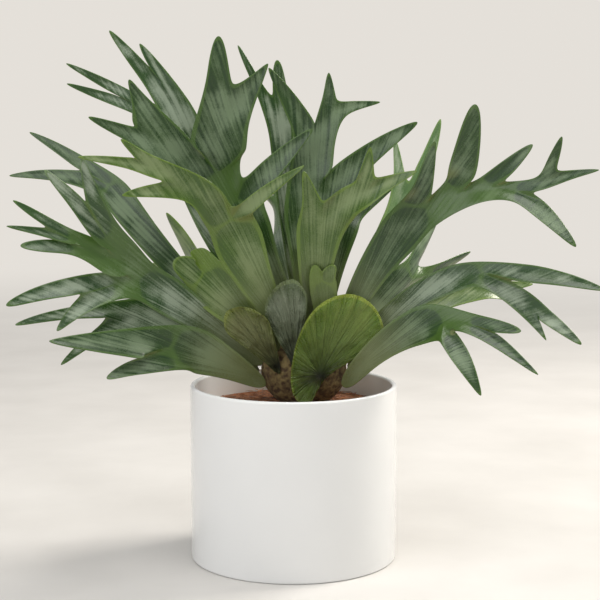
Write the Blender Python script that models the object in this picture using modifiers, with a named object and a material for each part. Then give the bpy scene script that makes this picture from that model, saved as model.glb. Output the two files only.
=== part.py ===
"""Staghorn fern (Platycerium) in a white glazed cylinder pot.

The pot stands on the origin, +Z is up and the best side of the plant looks along -Y.
Tables are in millimetres and degrees, and every mesh is written in metres.
"""

import math
from collections import namedtuple

import bmesh
import bpy
from mathutils import Vector

MM = 0.001
GAP = 0.3

POT_RADIUS = 80.0
POT_HEIGHT = 136.0
POT_WALL = 4.0
POT_FLOOR = 7.0
POT_FOOT_BEVEL = 3.0
POT_SIDES = 48

MIX_TOP = 117.0
MIX_DOME = 5.0
MIX_SHOULDER_REACH = 0.55
MIX_SHOULDER_RISE = 0.7

CROWN_CENTRE = Vector((8.0, 4.0, 146.0))
CROWN_RADII = Vector((34.0, 26.0, 30.0))

FROND_THICKNESS = 1.3
SHIELD_THICKNESS = 1.2
SHIELD_RIBS = 8
SHIELD_RINGS = 4
ROW_STEP = 17.0
KEEL_DEPTH = 0.28
FACING_REACH = 120.0
TAPER_POWER = 1.4
CROWN_SEGMENTS = 24

# A lobe is one strap of a frond between two forks. Heading is clockwise from straight up as seen
# from the frond's own side, turn is added along the length, and lean tips it towards that side.
Lobe = namedtuple("Lobe", "length heading turn lean start end forks")
Frond = namedtuple("Frond", "name azimuth elevation view pitch blade")
# A shield is a fan of sheet about the point where it grips the crown. Its reaches are the lengths
# of evenly spaced ribs between its first and last heading.
Shield = namedtuple("Shield", "name azimuth elevation first last curl reaches")


def lobe(length, heading, turn, lean, start, end, *forks):
    return Lobe(length, heading, turn, lean, start, end, forks)


def left_fronds():
    return [
        Frond("antler_frond_front", -25, 52, 0, 14, lobe(
            104, -35, 18, 22, 11, 36,
            lobe(42, -46, 2, 20, 22, 20,
                 lobe(50, -92, -8, 22, 11, 4),
                 lobe(32, -62, 0, 20, 13, 12,
                      lobe(54, -78, -6, 22, 7, 3),
                      lobe(30, -48, 0, 20, 7, 4))),
            lobe(70, 44, 14, 16, 11, 3))),
        Frond("antler_frond_tall", -5, 72, 0, 10, lobe(
            108, -37, 20, -2, 11, 36,
            lobe(32, -34, 0, 2, 40, 46,
                 lobe(32, -62, 0, 6, 28, 24,
                      lobe(68, -72, 6, 8, 13, 4),
                      lobe(62, -46, 24, 8, 17, 5)),
                 lobe(36, 8, 0, 4, 38, 30,
                      lobe(62, -4, 6, 6, 18, 8),
                      lobe(54, 44, -10, 8, 20, 4))),
            lobe(78, 40, 8, 8, 18, 5))),
        Frond("antler_frond_silver", -130, 58, 0, 12, lobe(
            164, -44, 32, -10, 10, 26,
            lobe(40, -42, 0, -6, 15, 13,
                 lobe(70, -74, 4, 0, 9, 3),
                 lobe(76, -58, -6, 0, 9, 3)),
            lobe(24, -8, 0, -6, 22, 24,
                 lobe(88, -40, 0, -2, 13, 4),
                 lobe(66, -24, -12, 0, 14, 4)))),
        Frond("antler_frond_left", -75, 12, 0, 28, lobe(
            110, -50, -4, 28, 11, 28,
            lobe(26, -88, -4, 24, 22, 24,
                 lobe(52, -116, -26, 22, 14, 5),
                 lobe(78, -86, -26, 18, 14, 6)),
            lobe(26, -42, 0, 22, 32, 36,
                 lobe(24, -68, 0, 20, 26, 22,
                      lobe(50, -80, -8, 20, 11, 7),
                      lobe(22, -60, 0, 16, 14, 12,
                           lobe(40, -76, -4, 16, 6, 3),
                           lobe(44, -50, -6, 14, 8, 3))),
                 lobe(24, -30, 0, 20, 24, 22,
                      lobe(64, -38, -4, 18, 12, 4),
                      lobe(60, -18, 8, 20, 12, 4))))),
        Frond("antler_frond_left_rear", -118, 22, 0, 10, lobe(
            186, -52, 16, -20, 10, 20,
            lobe(88, -74, -22, -14, 11, 3),
            lobe(82, -52, -12, -16, 11, 3))),
        Frond("antler_frond_left_middle", -88, -2, 0, 34, lobe(
            96, -50, -20, 16, 10, 24,
            lobe(74, -104, -30, 20, 12, 4),
            lobe(98, -80, -26, 10, 12, 4))),
        Frond("antler_frond_left_low", -60, -14, 0, 30, lobe(
            76, -54, -16, 38, 11, 36,
            lobe(60, -112, 2, 28, 15, 6),
            lobe(98, -80, -6, 18, 24, 4))),
        Frond("antler_frond_young", -48, 38, 0, 10, lobe(
            78, -50, 10, -6, 11, 34,
            lobe(24, -66, 0, -2, 18, 13),
            lobe(22, -18, 0, -6, 18, 14))),
    ]


def centre_fronds():
    return [
        Frond("antler_frond_crown", 60, 82, 0, 10, lobe(
            92, -2, 4, -2, 11, 32,
            lobe(50, 2, 4, -4, 26, 26,
                 lobe(66, -26, -8, -4, 16, 4),
                 lobe(28, 26, 0, -2, 16, 14,
                      lobe(28, -2, 0, 0, 9, 4),
                      lobe(36, 66, 22, 0, 8, 3))),
            lobe(104, 40, 20, 4, 20, 5))),
        Frond("antler_frond_slim", 175, 60, 0, 8, lobe(
            162, -10, 6, -12, 9, 15,
            lobe(70, -30, 4, -8, 7, 3),
            lobe(50, 0, -6, -8, 11, 7))),
        Frond("antler_frond_centre", 25, 55, 0, 22, lobe(
            88, -4, 12, 20, 11, 28,
            lobe(42, -18, 4, 14, 13, 6),
            lobe(44, 38, 24, 24, 18, 18,
                 lobe(34, 12, -6, 20, 11, 4),
                 lobe(42, 66, 0, 22, 11, 4)))),
        Frond("antler_frond_bud", 40, 30, 0, 10, lobe(
            54, -10, 6, 6, 9, 19,
            lobe(14, -28, 0, 6, 10, 7),
            lobe(15, 32, 0, 6, 10, 7))),
        Frond("antler_frond_dark", 150, 45, 0, 8, lobe(
            90, 2, 10, -20, 11, 32,
            lobe(54, -12, 0, -14, 16, 6),
            lobe(58, 54, 8, -12, 17, 5))),
    ]


def right_fronds():
    return [
        Frond("antler_frond_right", 62, 38, 0, 24, lobe(
            122, 18, 24, 20, 11, 30,
            lobe(54, 8, 6, 14, 13, 5),
            lobe(34, 58, 6, 22, 28, 26,
                 lobe(66, 12, -6, 14, 18, 9),
                 lobe(24, 78, 0, 22, 22, 19,
                      lobe(42, 40, 6, 16, 12, 6),
                      lobe(22, 92, 4, 26, 17, 16,
                           lobe(20, 72, 0, 22, 10, 9,
                                lobe(34, 22, -8, 18, 8, 4),
                                lobe(38, 68, 14, 20, 7, 3)),
                           lobe(58, 128, 14, 30, 13, 5)))))),
        Frond("antler_frond_right_middle", 84, 14, 0, 34, lobe(
            126, 32, 44, 20, 10, 20,
            lobe(92, 86, 20, 18, 16, 5),
            lobe(42, 120, 6, 24, 16, 15,
                 lobe(50, 122, 8, 26, 11, 5),
                 lobe(28, 150, 4, 24, 7, 3)))),
        Frond("antler_frond_right_under", 104, 2, 0, 36, lobe(
            134, 38, 50, -22, 9, 16,
            lobe(34, 82, 6, -20, 9, 4),
            lobe(30, 112, 8, -20, 8, 4))),
        Frond("antler_frond_right_low", 58, -14, 0, 30, lobe(
            94, 34, 36, 38, 11, 26,
            lobe(30, 86, 10, 28, 16, 17,
                 lobe(34, 86, 16, 22, 10, 7),
                 lobe(58, 122, 8, 24, 10, 3)),
            lobe(66, 142, 14, 26, 17, 4))),
        Frond("antler_frond_pale", 128, 32, 0, 8, lobe(
            120, 24, 8, -26, 9, 20,
            lobe(62, -2, -6, -20, 9, 3),
            lobe(84, 32, -16, -18, 13, 4))),
    ]


def back_fronds():
    return [
        Frond("antler_frond_back_left", -150, 14, 180, 28, lobe(
            110, 36, 24, 52, 10, 28,
            lobe(70, 30, 10, 40, 16, 5),
            lobe(66, 88, 14, 40, 15, 4))),
        Frond("antler_frond_back_centre", 180, 50, 180, 28, lobe(
            104, 6, 6, 66, 10, 30,
            lobe(64, -30, -8, 50, 16, 5),
            lobe(36, 24, 8, 50, 18, 16,
                 lobe(44, 4, 0, 44, 10, 4),
                 lobe(44, 54, 8, 48, 10, 4)))),
        Frond("antler_frond_back_right", 150, 8, 180, 28, lobe(
            104, -36, -24, 52, 10, 28,
            lobe(34, -84, -8, 40, 18, 16,
                 lobe(44, -112, -8, 36, 10, 4),
                 lobe(46, -72, 8, 38, 10, 4)),
            lobe(70, -32, -6, 40, 16, 5))),
    ]


def shields():
    return [
        Shield("shield_frond_front", 30, -2, -140, 60, 8, (30, 34, 34, 36, 52, 68, 68, 54)),
        Shield("shield_frond_grey", -8, 0, -28, 8, 6, (54, 64, 72, 74, 62)),
        Shield("shield_frond_olive", -30, -4, -50, -4, 12, (54, 64, 62, 56, 46)),
        Shield("shield_frond_back", 180, -8, -70, 70, 8, (34, 44, 48, 50, 48, 44, 34)),
    ]


def clear_scene():
    for item in list(bpy.data.objects):
        bpy.data.objects.remove(item)


def new_collection(name):
    group = bpy.data.collections.new(name)
    bpy.context.scene.collection.children.link(group)
    return group


def material(name, colour, roughness, metallic=0.0):
    made = bpy.data.materials.new(name)
    made.use_nodes = True
    shader = made.node_tree.nodes["Principled BSDF"]
    shader.inputs["Base Color"].default_value = (*colour, 1.0)
    shader.inputs["Roughness"].default_value = roughness
    shader.inputs["Metallic"].default_value = metallic
    return made


def add_object(group, name, mesh, finish):
    item = bpy.data.objects.new(name, mesh)
    mesh.materials.append(finish)
    group.objects.link(item)
    return item


def mesh_from(bm, name):
    """The cage in metres, as a mesh."""
    bmesh.ops.scale(bm, vec=Vector((MM, MM, MM)), verts=bm.verts)
    mesh = bpy.data.meshes.new(name)
    bm.to_mesh(mesh)
    bm.free()
    mesh.shade_smooth()
    return mesh


def add_sheet_thickness(item, thickness):
    solid = item.modifiers.new("thickness", "SOLIDIFY")
    solid.thickness = thickness * MM
    solid.offset = 0.0


def turned(group, name, profile, finish):
    """A profile of (radius, height) points, turned about the Z axis."""
    bm = bmesh.new()
    points = [bm.verts.new((radius, 0.0, height)) for radius, height in profile]
    for first, second in zip(points, points[1:]):
        bm.edges.new((first, second))
    item = add_object(group, name, mesh_from(bm, name), finish)
    turn = item.modifiers.new("turn", "SCREW")
    turn.steps = POT_SIDES
    turn.render_steps = POT_SIDES
    turn.use_merge_vertices = True
    turn.merge_threshold = 0.00001
    return item


def rim_arc(steps=4):
    """The rounded lip, from the inner wall over to the outer one."""
    half = POT_WALL / 2
    middle = POT_RADIUS - half
    angles = [math.pi * (1 - step / steps) for step in range(steps + 1)]
    return [
        (middle + half * math.cos(angle), POT_HEIGHT - half + half * math.sin(angle))
        for angle in angles
    ]


def build_pot(group):
    inner = POT_RADIUS - POT_WALL
    profile = [(0.0, POT_FLOOR), (inner, POT_FLOOR)]
    profile += rim_arc()
    profile += [(POT_RADIUS, POT_FOOT_BEVEL), (POT_RADIUS - POT_FOOT_BEVEL, 0.0), (0.0, 0.0)]
    finish = material("white_glaze", (0.86, 0.86, 0.84), 0.18)
    return turned(group, "pot", profile, finish)


def ellipsoid_mesh(name, extra):
    """The crown's shape, grown by extra millimetres."""
    bm = bmesh.new()
    bmesh.ops.create_uvsphere(bm, u_segments=CROWN_SEGMENTS, v_segments=CROWN_SEGMENTS // 2, radius=1.0)
    bmesh.ops.scale(bm, vec=CROWN_RADII + Vector((extra, extra, extra)), verts=bm.verts)
    bmesh.ops.translate(bm, vec=CROWN_CENTRE, verts=bm.verts)
    return mesh_from(bm, name)


def build_mix(group, cutters):
    radius = POT_RADIUS - POT_WALL - GAP
    low = POT_FLOOR + GAP
    shoulder = (radius * MIX_SHOULDER_REACH, MIX_TOP + MIX_DOME * MIX_SHOULDER_RISE)
    profile = [(0.0, MIX_TOP + MIX_DOME), shoulder]
    profile += [(radius, MIX_TOP), (radius, low), (0.0, low)]
    finish = material("coir_mix", (0.22, 0.11, 0.06), 0.95)
    mix = turned(group, "potting_mix", profile, finish)
    seat = add_object(cutters, "crown_seat", ellipsoid_mesh("crown_seat", GAP), finish)
    seat.hide_render = True
    seat.display_type = "WIRE"
    cut = mix.modifiers.new("crown seat", "BOOLEAN")
    cut.operation = "DIFFERENCE"
    cut.object = seat
    return mix


def build_crown(group):
    finish = material("rhizome", (0.20, 0.16, 0.08), 0.9)
    return add_object(group, "rhizome", ellipsoid_mesh("rhizome", 0.0), finish)


def crown_point(azimuth, elevation):
    """A point of the crown's surface and the direction straight out of it."""
    turn = math.radians(azimuth)
    rise = math.radians(elevation)
    unit = Vector((
        math.cos(rise) * math.sin(turn), -math.cos(rise) * math.cos(turn), math.sin(rise)
    ))
    point = CROWN_CENTRE + unit * CROWN_RADII
    outward = Vector((unit.x / CROWN_RADII.x, unit.y / CROWN_RADII.y, unit.z / CROWN_RADII.z))
    return point, outward.normalized()


class Grower:
    """Grows one frond's cage of left, keel and right points, row after row."""

    def __init__(self, frond, step):
        self.bm = bmesh.new()
        self.step = step
        turn = math.radians(frond.view)
        self.right = Vector((math.cos(turn), math.sin(turn), 0.0))
        self.near = Vector((math.sin(turn), -math.cos(turn), 0.0))
        self.pitch = math.radians(frond.pitch)

    def direction(self, heading, lean):
        across = math.radians(heading)
        out = math.radians(lean)
        flat = self.right * math.sin(across) + Vector((0.0, 0.0, math.cos(across)))
        return flat * math.cos(out) + self.near * math.sin(out)

    def facing(self, grown):
        rise = self.pitch * min(1.0, grown / FACING_REACH)
        return self.near * math.cos(rise) + Vector((0.0, 0.0, math.sin(rise)))

    def row(self, centre, direction, width, grown):
        side = direction.cross(self.facing(grown)).normalized()
        back = direction.cross(side).normalized()
        keel = centre + back * (KEEL_DEPTH * width / 2)
        places = (centre - side * (width / 2), keel, centre + side * (width / 2))
        return [self.bm.verts.new(place) for place in places]

    def stations(self, part, centre, lean, grown):
        """Rows along a lobe as (centre, direction, width, distance grown, distance along it)."""
        count = max(2, round(part.length / self.step))
        found = []
        place = centre.copy()
        for index in range(1, count + 1):
            along = index / count
            middle = (index - 0.5) / count
            heading = part.heading + part.turn * middle
            course = self.direction(heading, lean + (part.lean - lean) * middle)
            place = place + course * (part.length / count)
            width = part.start + (part.end - part.start) * along**TAPER_POWER
            found.append((place.copy(), course, width, grown + part.length * along,
                          part.length * along))
        return found

    def join(self, lower, upper):
        for index in range(2):
            self.bm.faces.new((lower[index], lower[index + 1], upper[index + 1], upper[index]))

    def climb(self, rows, part, lower):
        """Builds a lobe up from lower, which is its first station's row, and forks at its end."""
        for station in rows[1:]:
            upper = self.row(*station[:4])
            self.join(lower, upper)
            lower = upper
        if part.forks:
            self.fork(part, rows, lower)

    def fork(self, part, below, lower):
        """Splits a row of three points into two lobes about a new point in the sinus."""
        centre, _, _, grown, _ = below[-1]
        left, right = part.forks
        lean = part.lean
        apart = math.radians(abs(right.heading - left.heading)) / 2
        reach = (left.start + right.start) / 4 / max(math.sin(apart), 0.2)
        reach = min(reach, 0.5 * left.length, 0.5 * right.length)
        middle = (self.direction(left.heading, lean) + self.direction(right.heading, lean))
        sinus = self.bm.verts.new(centre + middle.normalized() * reach)
        outer_left, keel, outer_right = lower
        rows = []
        for side in part.forks:
            found = self.stations(side, centre, lean, grown)
            rows.append([station for station in found if station[4] > reach * 1.05])
        a = self.row(*rows[0][0][:4])
        b = self.row(*rows[1][0][:4])
        self.bm.faces.new((outer_left, keel, a[1], a[0]))
        self.bm.faces.new((keel, sinus, a[2], a[1]))
        self.bm.faces.new((keel, b[1], b[0], sinus))
        self.bm.faces.new((keel, outer_right, b[2], b[1]))
        self.climb(rows[0], left, a)
        self.climb(rows[1], right, b)


def frond_cage(frond, step):
    """The frond's open sheet, its foot just clear of the crown."""
    grower = Grower(frond, step)
    foot, outward = crown_point(frond.azimuth, frond.elevation)
    blade = frond.blade
    course = grower.direction(blade.heading, 0.0)
    side = course.cross(grower.facing(0.0)).normalized()
    back = course.cross(side).normalized()
    lift = abs(side.dot(outward)) * blade.start / 2
    lift += abs(back.dot(outward)) * (FROND_THICKNESS / 2 + KEEL_DEPTH * blade.start / 2)
    foot = foot + outward * (lift + GAP)
    rows = [(foot, course, blade.start, 0.0, 0.0)]
    rows += grower.stations(blade, foot, 0.0, 0.0)
    grower.climb(rows, blade, grower.row(*rows[0][:4]))
    return grower.bm


def rib_reach(reaches, along):
    """A rib's length, read between the listed ones."""
    place = along * (len(reaches) - 1)
    index = min(int(place), len(reaches) - 2)
    part = place - index
    return reaches[index] * (1 - part) + reaches[index + 1] * part


def shield_cage(shield, ribs, rings):
    """A fan of ribs about its grip, tangent to the crown and curling off it."""
    bm = bmesh.new()
    grip, outward = crown_point(shield.azimuth, shield.elevation)
    grip = grip + outward * (SHIELD_THICKNESS / 2 + GAP)
    up = (Vector((0.0, 0.0, 1.0)) - outward * outward.z).normalized()
    right = up.cross(outward).normalized()
    centre = bm.verts.new(grip)
    grid = []
    for rib in range(ribs + 1):
        along = rib / ribs
        heading = math.radians(shield.first + (shield.last - shield.first) * along)
        reach = rib_reach(shield.reaches, along)
        row = []
        for ring in range(1, rings + 1):
            part = ring / rings
            flat = (right * math.sin(heading) + up * math.cos(heading)) * (reach * part)
            row.append(bm.verts.new(grip + flat + outward * (shield.curl * part * part)))
        grid.append(row)
    for first, second in zip(grid, grid[1:]):
        bm.faces.new((centre, second[0], first[0]))
        for ring in range(rings - 1):
            bm.faces.new((first[ring], second[ring], second[ring + 1], first[ring + 1]))
    bmesh.ops.recalc_face_normals(bm, faces=bm.faces)
    return bm


def build_fronds(group):
    finish = material("antler_green", (0.10, 0.20, 0.08), 0.5)
    for frond in left_fronds() + centre_fronds() + right_fronds() + back_fronds():
        mesh = mesh_from(frond_cage(frond, ROW_STEP), frond.name)
        add_sheet_thickness(add_object(group, frond.name, mesh, finish), FROND_THICKNESS)


def build_shields(group):
    finish = material("shield_green", (0.24, 0.34, 0.10), 0.55)
    for shield in shields():
        mesh = mesh_from(shield_cage(shield, SHIELD_RIBS, SHIELD_RINGS), shield.name)
        add_sheet_thickness(add_object(group, shield.name, mesh, finish), SHIELD_THICKNESS)


def main():
    clear_scene()
    group = new_collection("staghorn_fern")
    cutters = new_collection("cutters")
    build_pot(group)
    build_mix(group, cutters)
    build_crown(group)
    build_shields(group)
    build_fronds(group)


main()
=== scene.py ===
# %% [markdown]
# # A staghorn fern in a glazed pot
# A staghorn fern has two kinds of leaf. Rounded shield fronds wrap the woody crown, and forked
# antler fronds arch out of it. The construction model gives each leaf as a coarse blade. Here every
# blade is grown smooth, waved a little, and given living colour.

import math
import random

import bmesh
import bpy
import numpy as np
from mathutils import Matrix, Vector


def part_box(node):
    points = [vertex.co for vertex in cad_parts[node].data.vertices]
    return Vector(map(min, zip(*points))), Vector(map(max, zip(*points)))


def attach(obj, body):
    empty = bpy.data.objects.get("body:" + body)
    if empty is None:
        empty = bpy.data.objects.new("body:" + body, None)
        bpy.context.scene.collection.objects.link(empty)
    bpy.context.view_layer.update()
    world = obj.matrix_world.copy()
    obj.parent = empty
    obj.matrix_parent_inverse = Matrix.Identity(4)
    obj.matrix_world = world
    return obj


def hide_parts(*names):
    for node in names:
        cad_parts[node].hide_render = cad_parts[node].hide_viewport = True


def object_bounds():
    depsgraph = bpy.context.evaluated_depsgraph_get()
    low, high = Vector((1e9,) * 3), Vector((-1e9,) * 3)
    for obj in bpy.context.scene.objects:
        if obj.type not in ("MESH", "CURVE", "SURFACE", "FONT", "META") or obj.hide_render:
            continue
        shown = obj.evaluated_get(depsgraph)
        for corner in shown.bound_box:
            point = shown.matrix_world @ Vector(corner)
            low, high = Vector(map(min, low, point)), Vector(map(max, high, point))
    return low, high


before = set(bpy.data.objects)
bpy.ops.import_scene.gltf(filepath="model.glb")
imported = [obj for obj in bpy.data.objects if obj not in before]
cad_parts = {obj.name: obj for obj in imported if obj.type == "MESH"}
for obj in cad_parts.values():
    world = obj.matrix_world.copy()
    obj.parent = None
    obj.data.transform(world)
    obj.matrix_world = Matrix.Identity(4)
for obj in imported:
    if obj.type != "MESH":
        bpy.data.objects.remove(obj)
cad_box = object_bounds()
MM = 0.001
pot_low, pot_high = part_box("pot")
mix_low, mix_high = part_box("potting_mix")
crown_low, crown_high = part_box("rhizome")
crown_centre = (crown_low + crown_high) / 2
antlers = sorted(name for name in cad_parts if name.startswith("antler_frond"))
shields = sorted(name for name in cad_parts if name.startswith("shield_frond"))
print(len(antlers), "antler fronds and", len(shields), "shield fronds")

# %% [markdown]
# Colours are worked out in the shader, so each one is a small sum. This class lets a sum be written
# as plain arithmetic: a Value stands for one socket, and its operators add maths nodes.


# %% Arithmetic for shaders
class Value:
    """One output of a material's node tree, with arithmetic."""

    def __init__(self, finish, socket):
        self.finish = finish
        self.socket = socket

    def sum(self, operation, first, second):
        settings = {"operation": operation}
        return self.finish.node("ShaderNodeMath", settings, {0: first, 1: second})

    def __add__(self, other):
        return self.sum("ADD", self, other)

    def __radd__(self, other):
        return self.sum("ADD", other, self)

    def __sub__(self, other):
        return self.sum("SUBTRACT", self, other)

    def __rsub__(self, other):
        return self.sum("SUBTRACT", other, self)

    def __mul__(self, other):
        return self.sum("MULTIPLY", self, other)

    def __rmul__(self, other):
        return self.sum("MULTIPLY", other, self)


class Finish:
    """One material, and the few ways that its values are made and used."""

    def __init__(self, name):
        self.material = bpy.data.materials.new(name)
        self.material.use_nodes = True
        self.tree = self.material.node_tree
        self.surface = self.tree.nodes["Principled BSDF"]

    def put(self, socket, value):
        if isinstance(value, Value):
            self.tree.links.new(value.socket, socket)
        else:
            socket.default_value = value

    def node(self, kind, settings, inputs, output=0):
        made = self.tree.nodes.new(kind)
        for key, value in settings.items():
            setattr(made, key, value)
        for key, value in inputs.items():
            self.put(made.inputs[key], value)
        return Value(self, made.outputs[output])

    def attribute(self, name):
        return self.node("ShaderNodeAttribute", {"attribute_name": name}, {}, "Fac")

    def place(self):
        return self.node("ShaderNodeTexCoord", {}, {}, "Object")

    def noise(self, where, scale, detail=3.0):
        inputs = {"Vector": where, "Scale": scale, "Detail": detail}
        return self.node("ShaderNodeTexNoise", {}, inputs, "Fac")

    def vector(self, x, y, z):
        return self.node("ShaderNodeCombineXYZ", {}, {"X": x, "Y": y, "Z": z})

    def between(self, value, low, high):
        """0 below low, 1 above high, and smooth in between."""
        settings = {"interpolation_type": "SMOOTHSTEP"}
        return self.node("ShaderNodeMapRange", settings, {"Value": value, 1: low, 2: high})

    def mix(self, factor, first, second):
        inputs = {0: factor, 6: self.colour(first), 7: self.colour(second)}
        return self.node("ShaderNodeMix", {"data_type": "RGBA"}, inputs, 2)

    def colour(self, value):
        return value if isinstance(value, Value) else (*value, 1.0)

    def bump(self, height, strength, distance):
        inputs = {"Height": height, "Strength": strength, "Distance": distance}
        return self.node("ShaderNodeBump", {}, inputs)

    def wear(self, **inputs):
        for name, value in inputs.items():
            self.put(self.surface.inputs[name.replace("_", " ")], value)
        return self.material


print("shader arithmetic ready")

# %% [markdown]
# A staghorn frond is deep green under a coat of fine white star hairs. The hairs rub off the high
# places, so the bloom is patchy and strongest down the middle. The margin and the tips are younger
# and yellower. Fine veins run the length of each lobe, and the stalk fades to pale olive. All this
# could be painted on each blade. Noise that is stretched along the rays from the foot does it for
# every blade at once.


# %% Leaf finish
def leaf_finish(name, deep, bloom, fresh, stalk, powder, rays=70.0, ribs=0.0):
    """Deep green, powdered with bloom, with fresh margins and a pale stalk."""
    finish = Finish(name)
    margin = finish.attribute("margin")
    reach = finish.attribute("reach")
    angle = finish.attribute("ray")
    upper = finish.attribute("upper")
    where = finish.place()
    wander = finish.noise(where, 22.0, 2.0) * 1.6
    fibres = finish.noise(finish.vector(angle * rays + wander, reach * 9.0, 0.0), 1.0, 3.0)
    patches = finish.noise(where, 34.0, 5.0)
    hairs = finish.noise(where, 1100.0, 2.0)
    worn = patches * 0.52 + fibres * 0.34 + hairs * 0.14 - margin * 0.12
    powdered = finish.between(worn, 0.38, 0.56)
    green = finish.mix(finish.between(fibres, 0.30, 0.72) * 0.30, deep, fresh)
    green = finish.mix(powdered * powder, green, bloom)
    green = finish.mix(finish.between(margin, 0.90, 1.0) * 0.55, green, fresh)
    green = finish.mix((1.0 - finish.between(reach, 0.015, 0.085)) * 0.75, green, stalk)
    green = finish.mix((1.0 - upper) * 0.75, green, stalk)
    height = finish.bump(fibres * 0.85 + hairs * 0.15, 0.5 + ribs, 0.0008 + ribs * 0.0022)
    rough = 0.27 + powdered * 0.24
    return finish.wear(Base_Color=green, Roughness=rough, Normal=height)


stalk_olive = (0.185, 0.215, 0.085)
fresh_green = (0.085, 0.165, 0.028)
# The dark and silver finishes are shaded and lit copies of one green: dark carries painted shade,
# and silver carries a painted sheen over the real bloom.
leaf_greens = {
    "dark": leaf_finish(
        "dark_leaf", (0.013, 0.044, 0.009), (0.220, 0.300, 0.180), fresh_green, stalk_olive, 0.62
    ),
    "silver": leaf_finish(
        "silver_leaf", (0.020, 0.060, 0.014), (0.330, 0.400, 0.300), fresh_green, stalk_olive, 0.80
    ),
    "olive": leaf_finish(
        "olive_leaf", (0.045, 0.098, 0.014), (0.270, 0.335, 0.165),
        (0.150, 0.240, 0.028), stalk_olive, 0.60,
    ),
    "pale": leaf_finish(
        "pale_leaf", (0.10, 0.19, 0.07), (0.36, 0.44, 0.30),
        (0.20, 0.31, 0.08), (0.24, 0.29, 0.12), 0.75,
    ),
}
shield_greens = {
    "bright": leaf_finish(
        "bright_shield", (0.105, 0.200, 0.015), (0.330, 0.430, 0.120), (0.42, 0.50, 0.06),
        (0.080, 0.140, 0.018), 0.60, 11.0, 1.6,
    ),
    "grey": leaf_finish(
        "grey_shield", (0.070, 0.105, 0.050), (0.330, 0.375, 0.280), (0.20, 0.26, 0.10),
        (0.075, 0.095, 0.040), 0.80, 11.0, 1.6,
    ),
    "olive": leaf_finish(
        "olive_shield", (0.120, 0.165, 0.030), (0.360, 0.380, 0.190), (0.28, 0.34, 0.06),
        (0.100, 0.110, 0.035), 0.60, 11.0, 1.6,
    ),
}
print(len(leaf_greens) + len(shield_greens), "leaf finishes")

# %% [markdown]
# Each blade starts as the coarse blade of the construction model. It could be drawn afresh as a
# plane, but a copy has the right size and place from the start. The copy's loose triangles are
# merged and joined into quads first, because subdivision rounds quads more evenly.


# %% Copying a coarse blade
merge_distance = 0.005 * MM


def select_only(piece):
    bpy.ops.object.select_all(action="DESELECT")
    piece.select_set(True)
    bpy.context.view_layer.objects.active = piece


def copy_of(node):
    """A copy of a construction piece, with clean quads."""
    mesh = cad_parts[node].data.copy()
    mesh.materials.clear()
    piece = bpy.data.objects.new(node + "_leaf", mesh)
    bpy.context.scene.collection.objects.link(piece)
    select_only(piece)
    bpy.ops.object.mode_set(mode="EDIT")
    bpy.ops.mesh.select_all(action="SELECT")
    bpy.ops.mesh.remove_doubles(threshold=merge_distance)
    bpy.ops.mesh.tris_convert_to_quads(face_threshold=0.7, shape_threshold=1.4)
    bpy.ops.mesh.normals_make_consistent(inside=False)
    bpy.ops.object.mode_set(mode="OBJECT")
    return piece


print("copier ready")

# %% [markdown]
# Smoothing draws the rim in, so the rim is first moved out a little from the keel. Catmull-Clark
# subdivision then rounds the lobes and the bays between them. How near a point is to the rim is
# stored on the mesh, so that the leaf finish can lighten the margin.


# %% Spreading and rounding a blade
sharp_edge = 1.05
blade_levels = 3


def add_value(mesh, name, values):
    layer = mesh.attributes.new(name, "FLOAT", "POINT")
    layer.data.foreach_set("value", np.asarray(values, np.float32))


def spread_edges(piece, share):
    """Moves the rim out from the keel, and marks how near each point is to the rim."""
    bm = bmesh.new()
    bm.from_mesh(piece.data)
    bm.verts.ensure_lookup_table()
    rim = [
        any(edge.calc_face_angle(0.0) > sharp_edge for edge in vert.link_edges) for vert in bm.verts
    ]
    moves = {}
    for vert in bm.verts:
        inner = [edge.other_vert(vert) for edge in vert.link_edges]
        inner = [other for other in inner if not rim[other.index]]
        if rim[vert.index] and inner:
            middle = sum((other.co for other in inner), Vector()) / len(inner)
            moves[vert.index] = (vert.co - middle) * share
    for index, move in moves.items():
        bm.verts[index].co += move
    bm.to_mesh(piece.data)
    bm.free()
    add_value(piece.data, "margin", [1.0 if edge else 0.0 for edge in rim])


def smooth(piece, levels):
    select_only(piece)
    rounder = piece.modifiers.new("round", "SUBSURF")
    rounder.levels = levels
    bpy.ops.object.modifier_apply(modifier=rounder.name)
    bpy.ops.object.shade_smooth()


print("rim spreader ready")

# %% [markdown]
# A living leaf is never flat. A slow wave stops the sheet from looking like cut card, and it moves
# both faces together, so the thickness stays. A blade that then reaches past the construction
# model's box is shrunk towards the crown, so no dimension grows. Shields get a ruffle as well: a
# sine about the crown, with a ruffle to each rib.


# %% Waves and ruffles
shield_reach = 70.0 * MM
shield_ribs = 11.0
ruffle_start = 0.45


def wave(piece, size, depth):
    """A slow wave front to back, which moves both faces of the sheet together."""
    texture = bpy.data.textures.new(piece.name + "_wave", "CLOUDS")
    texture.noise_scale = size
    mover = piece.modifiers.new("wave", "DISPLACE")
    mover.texture = texture
    mover.texture_coords = "GLOBAL"
    mover.direction = "Y"
    mover.strength = depth
    mover.mid_level = 0.5
    select_only(piece)
    bpy.ops.object.modifier_apply(modifier=mover.name)


def keep_inside(piece):
    """Shrinks a blade towards the crown until its tips are inside the construction model's box."""
    low, high = cad_box
    share = 1.0
    for vert in piece.data.vertices:
        offset = vert.co - crown_centre
        for axis in range(3):
            limit = (high if offset[axis] > 0 else low)[axis] - crown_centre[axis]
            if abs(offset[axis]) > abs(limit):
                share = min(share, limit / offset[axis])
    for vert in piece.data.vertices:
        vert.co = crown_centre + (vert.co - crown_centre) * share


def ruffle(piece, depth):
    """Waves the outer half of a shield in and out, as many times as it has ribs."""
    for vert in piece.data.vertices:
        offset = vert.co - crown_centre
        angle = math.atan2(offset.x, offset.z)
        reach = min(1.0, max(0.0, offset.length / shield_reach - ruffle_start))
        vert.co.y += depth * reach * math.sin(angle * shield_ribs)


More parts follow.
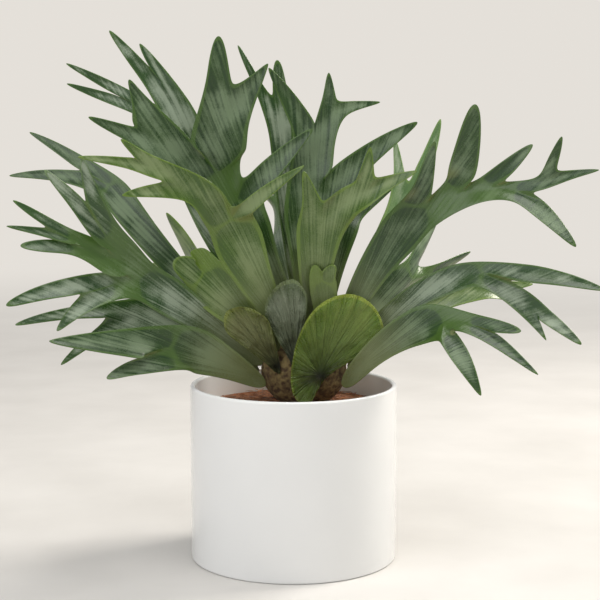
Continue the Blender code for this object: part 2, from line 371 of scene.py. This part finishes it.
print("wave maker ready")

# %% [markdown]
# Veins run out from the foot of a frond. A UV map could carry them, but forked blades unfold badly.
# Each point instead stores its distance from the foot, its direction, and how far its face looks
# up.


# %% Growth marks
foot_depth = 4.0 * MM


def mark_growth(piece):
    """Stores each point's distance and ray from the foot, and which face it is on."""
    mesh = piece.data
    points = np.empty(len(mesh.vertices) * 3, np.float32)
    mesh.vertices.foreach_get("co", points)
    points = points.reshape(-1, 3)
    normals = np.array([vert.normal for vert in mesh.vertices])
    from_crown = np.linalg.norm(points - np.array(crown_centre), axis=1)
    foot = points[from_crown < from_crown.min() + foot_depth].mean(axis=0)
    offset = points - foot
    add_value(mesh, "reach", np.linalg.norm(offset, axis=1))
    add_value(mesh, "ray", np.arctan2(offset[:, 0], offset[:, 2]))
    add_value(mesh, "upper", np.clip(0.5 + normals @ np.array((0.0, -1.6, 2.2)), 0.0, 1.0))


def dress(piece, node, material):
    piece.data.materials.clear()
    piece.data.materials.append(material)
    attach(piece, "root")
    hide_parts(node)


def grow_blade(node, material, spread, wave_size, wave_depth):
    piece = copy_of(node)
    spread_edges(piece, spread)
    smooth(piece, blade_levels)
    wave(piece, wave_size, wave_depth)
    keep_inside(piece)
    mark_growth(piece)
    dress(piece, node, material)
    return piece


print("growth marks ready")

# %% [markdown]
# The antler fronds differ in tone. Young ones are olive. Dark ones are partly old and partly given
# painted shade where they lie in shadow. Fronds that face the light get the silver finish, whose
# extra bloom is a painted sheen.

# %% Antler fronds
# Silver fronds face the light, so their extra bloom is a painted sheen. Fronds in no list get the
# dark finish, which is partly painted shade.
silver_sheen_names = ("left", "silver", "right_middle", "slim", "left_middle", "back_centre")
olive_names = ("front", "centre", "young", "bud", "right_under", "back_left")
pale_names = ("pale",)


antler_spread = 0.36
antler_wave = 90.0 * MM
antler_wave_depth = 12.0 * MM


def tone_of(node):
    short = node.removeprefix("antler_frond_")
    for tone, names in (("silver", silver_sheen_names), ("olive", olive_names), ("pale", pale_names)):
        if short in names:
            return tone
    return "dark"


for node in antlers:
    green = leaf_greens[tone_of(node)]
    grow_blade(node, green, antler_spread, antler_wave, antler_wave_depth)
print("antler fronds grown")

# %% [markdown]
# Shield fronds are ribbed from the grip outwards like a cabbage leaf, and never forked. Their outer
# half is ruffled afterwards by a sine about the crown, which gives one ruffle to each rib.

# %% Shield fronds
shield_tones = {"shield_frond_front": "bright", "shield_frond_grey": "grey"}
shield_spread = 0.10
shield_wave = 16.0 * MM
shield_wave_depth = 9.0 * MM
ruffle_depth = 2.2 * MM

for node in shields:
    green = shield_greens[shield_tones.get(node, "olive")]
    shield = grow_blade(
        node, green, shield_spread, shield_wave, shield_wave_depth
    )
    ruffle(shield, ruffle_depth)
print("shield fronds grown")

# %% [markdown]
# The pot is slip-cast earthenware under a white gloss glaze. It is made as a cylinder whose mouth
# is inset and pushed down, and then the lip and the foot are bevelled round. A turned profile would
# do as well, but this way the wall is as thick everywhere as the inset says.


# %% Pot
def pick_faces(piece, chooser):
    """Selects the faces that the chooser wants, in edit mode."""
    bpy.ops.object.mode_set(mode="OBJECT")
    for polygon in piece.data.polygons:
        polygon.select = chooser(polygon)
    for edge in piece.data.edges:
        edge.select = False
    for vert in piece.data.vertices:
        vert.select = False
    bpy.ops.object.mode_set(mode="EDIT")
    bpy.ops.mesh.select_mode(type="FACE")


def glaze_finish():
    finish = Finish("white_glaze")
    where = finish.place()
    cloud = finish.noise(where, 14.0, 2.0)
    pinholes = finish.noise(where, 420.0, 1.0)
    white = finish.mix(cloud, (0.80, 0.81, 0.81), (0.86, 0.87, 0.87))
    ripple = finish.bump(cloud * 0.8 + pinholes * 0.2, 0.10, 0.0006)
    rough = 0.13 + cloud * 0.07
    return finish.wear(Base_Color=white, Roughness=rough, Normal=ripple, Coat_Weight=0.4)


pot_wall = 4.0 * MM
pot_floor = 7.0 * MM
lip_width = 1.8 * MM


def make_pot():
    height = pot_high.z - pot_low.z
    radius = (pot_high.x - pot_low.x) / 2
    bpy.ops.object.select_all(action="DESELECT")
    bpy.ops.mesh.primitive_cylinder_add(
        vertices=160, radius=radius, depth=height, location=(0, 0, pot_low.z + height / 2)
    )
    pot = bpy.context.active_object
    pot.name = "pot_glazed"
    bpy.ops.object.transform_apply(location=True, rotation=True, scale=True)
    pick_faces(pot, lambda polygon: polygon.normal.z > 0.9)
    bpy.ops.mesh.inset(thickness=pot_wall)
    down = (0, 0, pot_floor - height)
    bpy.ops.mesh.extrude_region_move(TRANSFORM_OT_translate={"value": down})
    bpy.ops.object.mode_set(mode="OBJECT")
    lip = pot.modifiers.new("lip", "BEVEL")
    lip.width = lip_width
    lip.segments = 5
    lip.limit_method = "ANGLE"
    lip.angle_limit = math.radians(50)
    select_only(pot)
    bpy.ops.object.modifier_apply(modifier=lip.name)
    bpy.ops.object.shade_smooth_by_angle(angle=math.radians(40))
    dress(pot, "pot", glaze_finish())


make_pot()
print("pot thrown")

# %% [markdown]
# Coir is coconut fibre: short, springy, red-brown strands over a crumbly bed. Hair particles could
# make them, but a bent strand copied by the hundred stays a plain mesh that anything can read.


# %% One strand
def coir_finish(name, dark, light):
    finish = Finish(name)
    where = finish.place()
    crumbs = finish.noise(where, 260.0, 5.0)
    brown = finish.mix(finish.between(crumbs, 0.35, 0.65), dark, light)
    grain = finish.bump(crumbs, 0.8, 0.002)
    return finish.wear(Base_Color=brown, Roughness=0.93, Normal=grain)


def make_strand():
    bpy.ops.object.select_all(action="DESELECT")
    bpy.ops.curve.primitive_bezier_curve_add(radius=6.0 * MM)
    strand = bpy.context.active_object
    strand.data.bevel_depth = 0.22 * MM
    strand.data.bevel_resolution = 1
    strand.data.resolution_u = 6
    strand.data.use_fill_caps = True
    bpy.ops.object.convert(target="MESH")
    bpy.ops.object.transform_apply(location=True, rotation=True, scale=True)
    return bpy.context.active_object


dice = random.Random(7)
strand = make_strand()
print("strand of", len(strand.data.polygons), "faces")

# %% [markdown]
# The bed is what the strands lie on. Its shape is already right in the construction model, with the
# seat that the crown sits in, so a copy is cut finer and given the crumbly finish.


# %% Coir bed
def make_bed():
    """The bed: a copy of the filling, cut fine enough for its crumbly finish."""
    bed = copy_of("potting_mix")
    bed.name = "coir_bed"
    select_only(bed)
    bpy.ops.object.mode_set(mode="EDIT")
    bpy.ops.mesh.select_all(action="SELECT")
    bpy.ops.mesh.subdivide(number_cuts=3)
    bpy.ops.object.mode_set(mode="OBJECT")
    crumbs = coir_finish("coir_bed", (0.07, 0.028, 0.012), (0.30, 0.12, 0.05))
    dress(bed, "potting_mix", crumbs)


make_bed()
print("bed laid")

# %% [markdown]
# The crown is the fern's short woody stem, which every frond grows from. It is a rounded copy of
# the construction model's crown, with a bark-like finish.


# %% Crown
def make_crown():
    crown = copy_of("rhizome")
    crown.name = "crown_body"
    smooth(crown, 2)
    bark = coir_finish("crown_bark", (0.06, 0.035, 0.016), (0.20, 0.15, 0.06))
    dress(crown, "rhizome", bark)


make_crown()
print("crown rounded")

# %% [markdown]
# The strands are laid on the bed by chance: a random place in a disc, a random turn and a slight
# tilt. The square root spreads them evenly, because a disc has more room near its edge.


# %% Laying the coir
bed_dome = 5.0 * MM
bed_margin = 6.0 * MM
strand_count = 650


def scatter(strand, name, places):
    """One mesh of strand copies, one for each placing matrix."""
    bm = bmesh.new()
    for place in places:
        mesh = strand.data.copy()
        mesh.transform(place)
        bm.from_mesh(mesh)
        bpy.data.meshes.remove(mesh)
    made = bpy.data.meshes.new(name)
    bm.to_mesh(made)
    bm.free()
    piece = bpy.data.objects.new(name, made)
    bpy.context.scene.collection.objects.link(piece)
    return piece


def bed_height(radius):
    rim = mix_high.x
    return mix_high.z - bed_dome * (radius / rim) ** 1.6


def lay_strands(strand, dice, count):
    places = []
    inner = mix_high.x - bed_margin
    for _ in range(count):
        radius = inner * math.sqrt(dice.random())
        turn = dice.uniform(0, math.tau)
        spot = Vector((radius * math.cos(turn), radius * math.sin(turn), 0))
        spot.z = bed_height(radius) + dice.uniform(0.2, 2.2) * MM
        tilt = Matrix.Rotation(dice.uniform(-0.25, 0.25), 4, "X")
        spin = Matrix.Rotation(dice.uniform(0, math.tau), 4, "Z")
        size = Matrix.Scale(dice.uniform(0.5, 1.0), 4)
        places.append(Matrix.Translation(spot) @ spin @ tilt @ size)
    return places


coir = scatter(strand, "coir_strands", lay_strands(strand, dice, strand_count))
fibre = coir_finish("coir_strand", (0.22, 0.070, 0.025), (0.52, 0.23, 0.10))
dress(coir, "potting_mix", fibre)
print(strand_count, "strands laid")

# %% [markdown]
# Brown papery scales cover a staghorn's crown. Short copies of the same strand stand in for them,
# each turned to point out of the crown and then splayed.


# %% Crown scales
scale_count = 420


def bristle_crown(strand, dice, count):
    """Short brown scales standing out of the crown's upper half."""
    places = []
    size_of = (crown_high - crown_low) / 2
    for _ in range(count):
        turn = dice.uniform(0, math.tau)
        rise = dice.uniform(-0.5, 1.4)
        level = math.cos(rise)
        unit = Vector((level * math.cos(turn), level * math.sin(turn), math.sin(rise)))
        spot = crown_centre + unit * size_of
        lay = unit.to_track_quat("X", "Z").to_matrix().to_4x4()
        splay = Matrix.Rotation(dice.uniform(-1.1, 1.1), 4, "Y")
        size = Matrix.Scale(dice.uniform(0.25, 0.5), 4)
        places.append(Matrix.Translation(spot) @ lay @ splay @ size)
    return places


scales = scatter(strand, "crown_scales", bristle_crown(strand, dice, scale_count))
husk = coir_finish("crown_scale", (0.12, 0.07, 0.03), (0.30, 0.22, 0.10))
dress(scales, "rhizome", husk)
bpy.data.objects.remove(strand)
print(scale_count, "scales set")

# %% [markdown]
# The room is only a pale floor. A wall would stand in the way of a view from behind, so the floor
# fades with distance into the colour of the room, and the two meet softly.


# %% Floor and room
room_cream = (0.78, 0.745, 0.695)


def floor_finish():
    """Pale plaster round the pot, which fades with distance into the colour of the room."""
    finish = Finish("pale_floor")
    where = finish.place()
    distance = finish.node("ShaderNodeVectorMath", {"operation": "LENGTH"}, {0: where}, "Value")
    mottle = finish.noise(where, 9.0, 7.0)
    plaster = finish.mix(mottle, (0.56, 0.545, 0.52), (0.74, 0.725, 0.70))
    finish.wear(Base_Color=plaster, Roughness=0.65)
    glow = finish.node("ShaderNodeEmission", {}, {"Color": (*room_cream, 1.0)})
    near = Value(finish, finish.surface.outputs[0])
    parts = {0: finish.between(distance, 0.55, 2.4), 1: near, 2: glow}
    whole = finish.node("ShaderNodeMixShader", {}, parts)
    finish.put(finish.tree.nodes["Material Output"].inputs["Surface"], whole)
    return finish.material


def make_world():
    """A soft even light, seen by the camera as the cream of the far wall."""
    world = bpy.data.worlds.new("soft_room")
    bpy.context.scene.world = world
    world.use_nodes = True
    tree = world.node_tree
    soft = tree.nodes["Background"]
    soft.inputs["Color"].default_value = (0.93, 0.92, 0.90, 1.0)
    soft.inputs["Strength"].default_value = 0.50
    seen = tree.nodes.new("ShaderNodeBackground")
    seen.inputs["Color"].default_value = (*room_cream, 1.0)
    chooser = tree.nodes.new("ShaderNodeMixShader")
    path = tree.nodes.new("ShaderNodeLightPath")
    tree.links.new(path.outputs["Is Camera Ray"], chooser.inputs[0])
    tree.links.new(soft.outputs[0], chooser.inputs[1])
    tree.links.new(seen.outputs[0], chooser.inputs[2])
    tree.links.new(chooser.outputs[0], tree.nodes["World Output"].inputs["Surface"])


def make_room():
    bpy.ops.object.select_all(action="DESELECT")
    bpy.ops.mesh.primitive_plane_add(size=80.0, location=(0, 0, 0))
    floor = bpy.context.active_object
    floor.name = "floor"
    floor.data.materials.append(floor_finish())
    make_world()


make_room()
print("room made")

# %% [markdown]
# The camera stands at the height of the upper leaves and looks slightly down. Its long lens keeps
# the pot's sides nearly upright.


# %% Camera
camera_pitch = 6.95


def make_camera():
    camera = bpy.data.objects.new("camera", bpy.data.cameras.new("camera"))
    camera.location = (0.005, -1.140, 0.340)
    camera.rotation_euler = (math.radians(90 - camera_pitch), 0, 0)
    camera.data.lens = 89.4
    bpy.context.scene.collection.objects.link(camera)
    bpy.context.scene.camera = camera


make_camera()
print("camera placed")

# %% [markdown]
# Large area lights give the soft edges of a window's light: warm from the right, a skylight over
# the leaves, and a weaker fill from the left.


# %% Lights
def add_light(name, place, aim, size, power, colour):
    light = bpy.data.lights.new(name, "AREA")
    light.size = size
    light.energy = power
    light.color = colour
    lamp = bpy.data.objects.new(name, light)
    lamp.location = place
    lamp.rotation_euler = (Vector(aim) - Vector(place)).to_track_quat("-Z", "Y").to_euler()
    bpy.context.scene.collection.objects.link(lamp)


add_light("window", (1.1, 0.5, 1.3), (0, 0, 0.2), 0.6, 25, (1.0, 0.94, 0.86))
add_light("skylight", (0.1, -0.35, 1.6), (0, 0, 0.25), 0.9, 11, (1.0, 0.98, 0.95))
add_light("room_fill", (-1.2, -1.2, 1.0), (0, 0, 0.2), 1.3, 10, (0.98, 0.98, 1.0))
bpy.context.scene.view_settings.view_transform = "Standard"
print("room lit")
